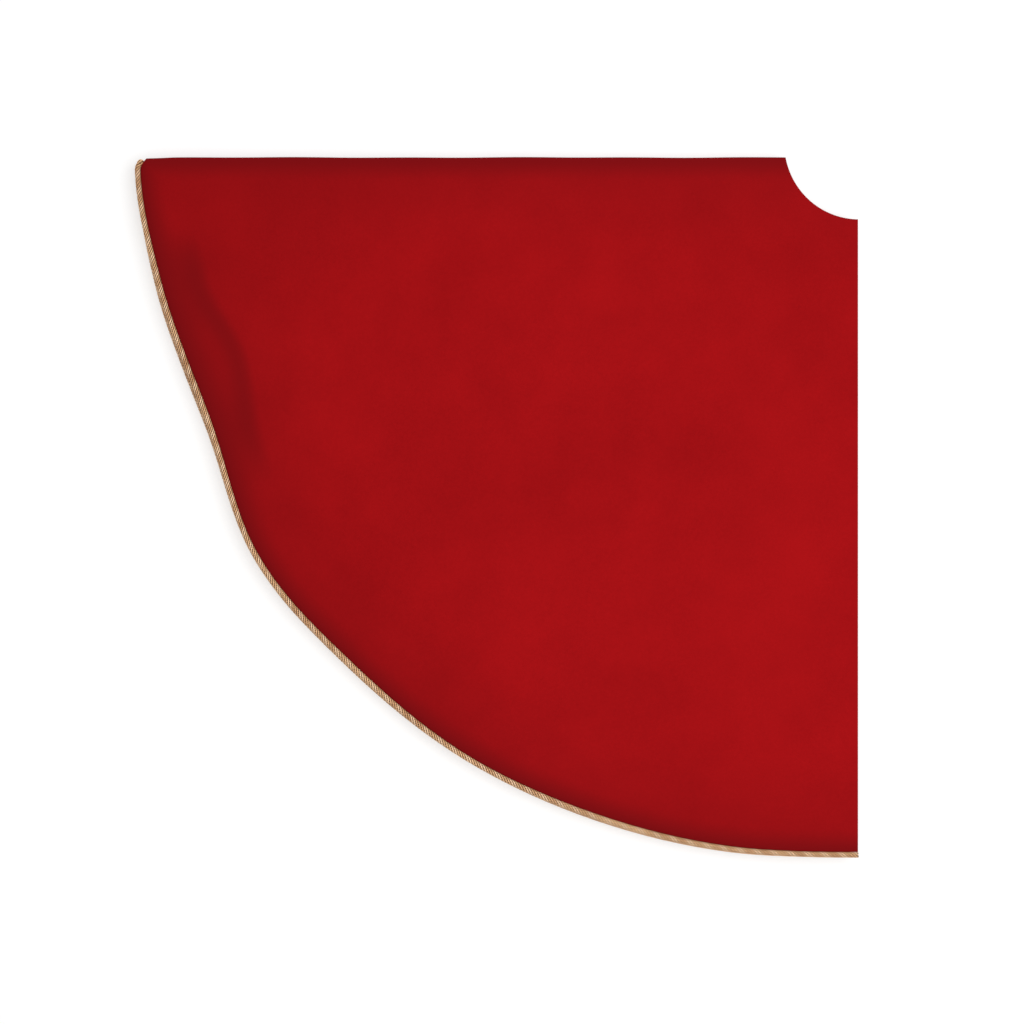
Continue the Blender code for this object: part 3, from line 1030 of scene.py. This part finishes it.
def pile_group():
    """Short cut pile: fine tufts, brushed patches and broad clouds of tone."""
    tree, given, output = shader_group(
        "cut_pile",
        {
            "Vector": ("NodeSocketVector", (0, 0, 0)),
            "Tuft Scale": ("NodeSocketFloat", 1500.0),
            "Patch Scale": ("NodeSocketFloat", 26.0),
        },
        ("Tone", "Tufts"),
    )
    g = given.outputs
    tufts = noise(tree, g["Vector"], g["Tuft Scale"], 2.0)
    coarse = noise(tree, g["Vector"], math_node(tree, "MULTIPLY", g["Tuft Scale"], 0.27), 2.0)
    patches = noise(tree, g["Vector"], g["Patch Scale"], 3.0)
    clouds = noise(tree, g["Vector"], math_node(tree, "MULTIPLY", g["Patch Scale"], 0.22), 1.0)
    tone = math_node(tree, "MULTIPLY", tufts, 0.30)
    for part, share in ((coarse, 0.16), (patches, 0.26), (clouds, 0.28)):
        tone = math_node(tree, "ADD", tone, math_node(tree, "MULTIPLY", part, share))
    tree.links.new(tone, output.inputs["Tone"])
    height = math_node(tree, "MULTIPLY", tufts, 0.6)
    height = math_node(tree, "ADD", height, math_node(tree, "MULTIPLY", coarse, 0.4))
    tree.links.new(height, output.inputs["Tufts"])
    return tree


def weave_group():
    """Threads over and under each other, with a little unevenness."""
    tree, given, output = shader_group(
        "weave",
        {
            "Vector": ("NodeSocketVector", (0, 0, 0)),
            "Thread": ("NodeSocketFloat", 0.0004),
            "Slub": ("NodeSocketFloat", 0.3),
        },
        ("Threads", "Tone"),
    )
    g = given.outputs
    split = node(tree, "ShaderNodeSeparateXYZ", {0: g["Vector"]}).outputs
    rate = math_node(tree, "DIVIDE", pi, g["Thread"])
    waves = [math_node(tree, "SINE", math_node(tree, "MULTIPLY", split[k], rate)) for k in (0, 1)]
    warp = math_node(tree, "ABSOLUTE", waves[0])
    weft = math_node(tree, "ABSOLUTE", waves[1])
    over = math_node(tree, "GREATER_THAN", math_node(tree, "MULTIPLY", waves[0], waves[1]), 0.0)
    under = math_node(tree, "SUBTRACT", 1.0, over)
    threads = math_node(
        tree, "ADD", math_node(tree, "MULTIPLY", warp, over), math_node(tree, "MULTIPLY", weft, under)
    )
    tree.links.new(threads, output.inputs["Threads"])
    uneven, broad = [
        math_node(tree, "MULTIPLY", math_node(tree, "SUBTRACT", noise(tree, g["Vector"], scale), 0.5), share)
        for scale, share in ((160.0, g["Slub"]), (14.0, 0.12))
    ]
    tone = math_node(tree, "ADD", math_node(tree, "MULTIPLY", threads, 0.35), 0.32)
    tone = math_node(tree, "ADD", tone, math_node(tree, "ADD", uneven, broad))
    tree.links.new(tone, output.inputs["Tone"])
    return tree


def begin_material(name, **settings):
    """A material with its shader set, and its node tree."""
    material = bpy.data.materials.new(name)
    material.use_nodes = True
    tree = material.node_tree
    shader = tree.nodes["Principled BSDF"]
    for key, value in settings.items():
        shader.inputs[key.replace("_", " ")].default_value = value
    return material, tree, shader


def blend_color(tree, factor, low, high):
    mix = node(tree, "ShaderNodeMix", data_type="RGBA")
    for key, value in ((0, factor), (6, low), (7, high)):
        if isinstance(value, bpy.types.NodeSocket):
            tree.links.new(value, mix.inputs[key])
        else:
            mix.inputs[key].default_value = value if key == 0 else (*value, 1)
    return mix.outputs[2]


def map_range(tree, value, low, high, to_low=0.0, to_high=1.0, kind="SMOOTHSTEP"):
    inputs = {"Value": value, "From Min": low, "From Max": high, "To Min": to_low, "To Max": to_high}
    return output_of(tree, "ShaderNodeMapRange", inputs, interpolation_type=kind)


def add_bump(tree, shader, height, strength, distance):
    bump = node(tree, "ShaderNodeBump", {"Strength": strength, "Distance": distance, "Height": height})
    tree.links.new(bump.outputs[0], shader.inputs["Normal"])


def attribute(tree, name):
    return node(tree, "ShaderNodeAttribute", attribute_name=name).outputs["Fac"]


def use_group(tree, group, **values):
    place = node(tree, "ShaderNodeTexCoord").outputs["Object"]
    made = node(tree, "ShaderNodeGroup", node_tree=group)
    tree.links.new(place, made.inputs["Vector"])
    for key, value in values.items():
        made.inputs[key.replace("_", " ")].default_value = value
    return made.outputs


VELVET_DEEP = (0.275, 0.0036, 0.0052)
VELVET_BRIGHT = (0.375, 0.0052, 0.0070)
# painted shade: the velvet's colour at its edges and folds
VELVET_EDGE_SHADE = (0.200, 0.0042, 0.0058)
GOLD_LOW = (0.55, 0.25, 0.10)
GOLD_HIGH = (1.0, 0.62, 0.33)
GOLD_PALE = (1.0, 0.67, 0.42)
GOLD_SHADOW = (0.055, 0.022, 0.006)


def velvet_material(group):
    settings = {"Roughness": 0.9, "Sheen_Weight": 0.05, "Sheen_Roughness": 0.5}
    material, tree, shader = begin_material("red_velvet", **settings)
    shader.inputs["Sheen Tint"].default_value = (1.0, 0.30, 0.25, 1)
    shader.inputs["Specular IOR Level"].default_value = 0.02
    pile = use_group(tree, group)
    nap = map_range(tree, pile["Tone"], 0.34, 0.66, kind="LINEAR")
    color = blend_color(tree, nap, VELVET_DEEP, VELVET_BRIGHT)
    # painted shade: darker over the last 21 mm to the edges and folds, and a little over 90 mm
    rim = attribute(tree, "rim_distance")
    near = math_node(tree, "MULTIPLY", map_range(tree, rim, 0.0, 0.021), 0.68)
    far = math_node(tree, "MULTIPLY", map_range(tree, rim, 0.0, 0.090), 0.32)
    color = blend_color(tree, math_node(tree, "ADD", near, far), VELVET_EDGE_SHADE, color)
    tree.links.new(color, shader.inputs["Base Color"])
    add_bump(tree, shader, pile["Tufts"], 0.30, 0.0004)
    return material


def woven_material(name, group, low, high, thread, roughness, strength):
    material, tree, shader = begin_material(name, Sheen_Weight=0.1)
    shader.inputs["Specular IOR Level"].default_value = 0.12
    weave = use_group(tree, group, Thread=thread)
    tone = map_range(tree, weave["Tone"], 0.25, 0.85, kind="LINEAR")
    tree.links.new(blend_color(tree, tone, low, high), shader.inputs["Base Color"])
    rough = map_range(tree, weave["Tone"], 0.2, 0.9, roughness + 0.1, roughness - 0.05, kind="LINEAR")
    tree.links.new(rough, shader.inputs["Roughness"])
    add_bump(tree, shader, weave["Threads"], strength, 0.00015)
    return material


def gold_material(group):
    """Metallic thread: full colour on the crowns of the yarns, and painted shade, dark brown, in the
    crevices between them.
    """
    material, tree, shader = begin_material("gold_thread", Metallic=0.25)
    pile = use_group(tree, group, Tuft_Scale=2600.0, Patch_Scale=90.0)
    tone = map_range(tree, pile["Tone"], 0.36, 0.64, kind="LINEAR")
    color = blend_color(tree, tone, GOLD_LOW, GOLD_HIGH)
    yarn = attribute(tree, "yarn")
    pale = math_node(tree, "LESS_THAN", yarn, 1.5)
    color = blend_color(tree, math_node(tree, "MULTIPLY", pale, 0.75), color, GOLD_PALE)
    # painted shade in the crevices between the yarns, full colour on their crowns
    crown = attribute(tree, "crown")
    raised = map_range(tree, crown, 0.00190, 0.00230)
    color = blend_color(tree, raised, GOLD_SHADOW, color)
    tree.links.new(color, shader.inputs["Base Color"])
    rough = map_range(tree, pile["Tufts"], 0.3, 0.7, 0.50, 0.34, kind="LINEAR")
    tree.links.new(rough, shader.inputs["Roughness"])
    add_bump(tree, shader, pile["Tufts"], 0.5, 0.0002)
    return material


WOVEN = (  # piece, material, low and high colour, thread in metres, roughness, strength of its relief
    ("satin", "red_satin", (0.19, 0.003, 0.005), (0.36, 0.006, 0.010), 0.00035, 0.50, 0.10),
    ("facing", "red_facing", (0.17, 0.004, 0.007), (0.34, 0.008, 0.013), 0.00060, 0.60, 0.4),
    ("wadding", "wadding", (0.70, 0.68, 0.62), (0.86, 0.84, 0.80), 0.0030, 0.9, 0.2),
    ("lip_tape", "lip_tape", (0.40, 0.27, 0.12), (0.66, 0.48, 0.25), 0.0009, 0.7, 0.5),
    ("hook_tape", "hook_tape", (0.10, 0.003, 0.006), (0.22, 0.006, 0.010), 0.0006, 0.6, 0.5),
    ("loop_tape", "loop_tape", (0.14, 0.004, 0.007), (0.28, 0.008, 0.013), 0.0006, 0.9, 0.5),
    ("thread", "red_thread", (0.22, 0.004, 0.007), (0.48, 0.012, 0.018), 0.0003, 0.5, 0.3),
)


def make_materials():
    pile, weave = pile_group(), weave_group()
    made = {"velvet": velvet_material(pile)}
    for key, name, low, high, thread, roughness, strength in WOVEN:
        made[key] = woven_material(name, weave, low, high, thread, roughness, strength)
    made["gold"] = gold_material(pile)
    return made


# The whole skirt


def build_skirt(materials):
    stitches, pile_of_tape = stitch_tree(), tape_tree()
    strips = {number: [] for number in MIDDLE}
    linings = {number: [] for number in MIDDLE}
    for joint, (_, upper, _, outside) in FOLDS.items():
        short = joint[-3:]
        for cloth in ("velvet", "satin"):
            strip = fold_strip(f"{cloth}_fold_{short}", joint, cloth == outside, materials[cloth])
            (strips if cloth == "velvet" else linings)[upper].append(strip)
    for number in MIDDLE:
        body = f"quarter_{number}"
        face, lining = face_and_lining(number, materials["velvet"], materials["satin"])
        for piece, key in ((face, "velvet"), (lining, "satin")):
            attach(piece, body)
        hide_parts(f"face_panel_{number}", f"face_neck_{number}")
        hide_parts(f"lining_{number}")

        ring = facing_strip(f"facing_ring_{number}", number, neck_band(number), materials["facing"])
        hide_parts(f"neck_facing_{number}")
        extras = [(ring, "facing")]
        if SLIT[number]:
            strip = facing_strip(f"facing_slit_{number}", number, slit_band(number), materials["facing"])
            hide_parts(f"slit_facing_{number}")
            extras.append((strip, "facing"))
        side = RIGHT[number] - (SEAM_ALLOWANCE if SLIT[number] else 0)
        inset = CLOTH_INSET + LIP_WIDTH + 0.0003
        xy = plan(number, SPARSE, 60, 56, inner=SEAM_ALLOWANCE, inset=inset, right=side)
        pad = hidden_layer(f"wadding_{number}", number, xy, -0.0010, 0.0004, materials["wadding"])
        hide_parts(f"padding_{number}")
        extras.append((pad, "wadding"))
        lip = hidden_layer(f"lip_{number}", number, lip_band(number), -0.0007, 0.0001, materials["lip_tape"])
        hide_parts(f"cord_lip_{number}")
        extras.append((lip, "lip_tape"))
        rows = sewn_rows(number)
        if SLIT[number]:
            kind = "hook" if number == 1 else "loop"
            for letter in "abc":
                name = f"{kind}_tape_{letter}"
                rows.append(tape_rows(number, name))
                tape(name, number, kind, pile_of_tape, materials[f"{kind}_tape"])
        sewn = grow(f"stitches_{number}", stitches, rows, {"Material": materials["thread"]})
        extras.append((sewn, "facing"))
        for piece, key in extras:
            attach(piece, body)
    edge_cords(materials["gold"])


def lay_floor():
    mesh = bpy.data.meshes.new("floor")
    half, z = 30.0, -0.0010
    corners = [(x * half, y * half, z) for x, y in ((-1, -1), (1, -1), (1, 1), (-1, 1))]
    mesh.from_pydata(corners, [], [(0, 1, 2, 3)])
    floor = bpy.data.objects.new("floor", mesh)
    bpy.context.scene.collection.objects.link(floor)
    material, tree, shader = begin_material("pale_floor", Roughness=0.9)
    shader.inputs["Specular IOR Level"].default_value = 0.1
    shader.inputs["Emission Color"].default_value = (1, 1, 1, 1)
    shader.inputs["Emission Strength"].default_value = 0.56
    place = node(tree, "ShaderNodeTexCoord").outputs["Object"]
    grain = noise(tree, place, 30.0)
    color = blend_color(tree, grain, (0.50, 0.50, 0.50), (0.52, 0.52, 0.52))
    tree.links.new(color, shader.inputs["Base Color"])
    mesh.materials.append(material)


def add_light(name, place, target, size, power):
    light = bpy.data.lights.new(name, "AREA")
    light.size = size
    light.energy = power
    lamp = bpy.data.objects.new(name, light)
    lamp.location = place
    lamp.rotation_mode = "QUATERNION"
    lamp.rotation_quaternion = (Vector(target) - Vector(place)).to_track_quat("-Z", "Y")
    bpy.context.scene.collection.objects.link(lamp)


WORLD_STRENGTH = 0.44
BACKDROP = 0.90  # brightness of the studio behind the floor
LAMP_POWER = 23.0
VIEW_CENTRE = (0.0135, -0.0030)
VIEW_WIDTH = 0.8722
LENS = 85.0  # millimetres
SENSOR = 36.0


def light_and_camera():
    scene = bpy.context.scene
    scene.view_settings.view_transform = "Standard"
    world = bpy.data.worlds.new("studio")
    world.use_nodes = True
    world.node_tree.nodes["Background"].inputs["Color"].default_value = (1, 1, 1, 1)
    world.node_tree.nodes["Background"].inputs["Strength"].default_value = WORLD_STRENGTH
    scene.world = world
    tree = world.node_tree
    seen = node(tree, "ShaderNodeLightPath").outputs["Is Camera Ray"]
    extra = math_node(tree, "MULTIPLY", seen, BACKDROP - WORLD_STRENGTH)
    strength = math_node(tree, "ADD", extra, WORLD_STRENGTH)
    tree.links.new(strength, tree.nodes["Background"].inputs["Strength"])
    add_light("overhead", (0.50, 0.10, 1.6), (0.16, 0.02, 0), 1.5, LAMP_POWER)
    camera = bpy.data.objects.new("camera", bpy.data.cameras.new("camera"))
    camera.data.lens = LENS
    camera.data.sensor_width = SENSOR
    distance = VIEW_WIDTH * LENS / SENSOR
    camera.location = (*VIEW_CENTRE, cad_high.z + distance)
    scene.collection.objects.link(camera)
    scene.camera = camera


settle_slack_sheet()
build_skirt(make_materials())
lay_floor()
light_and_camera()
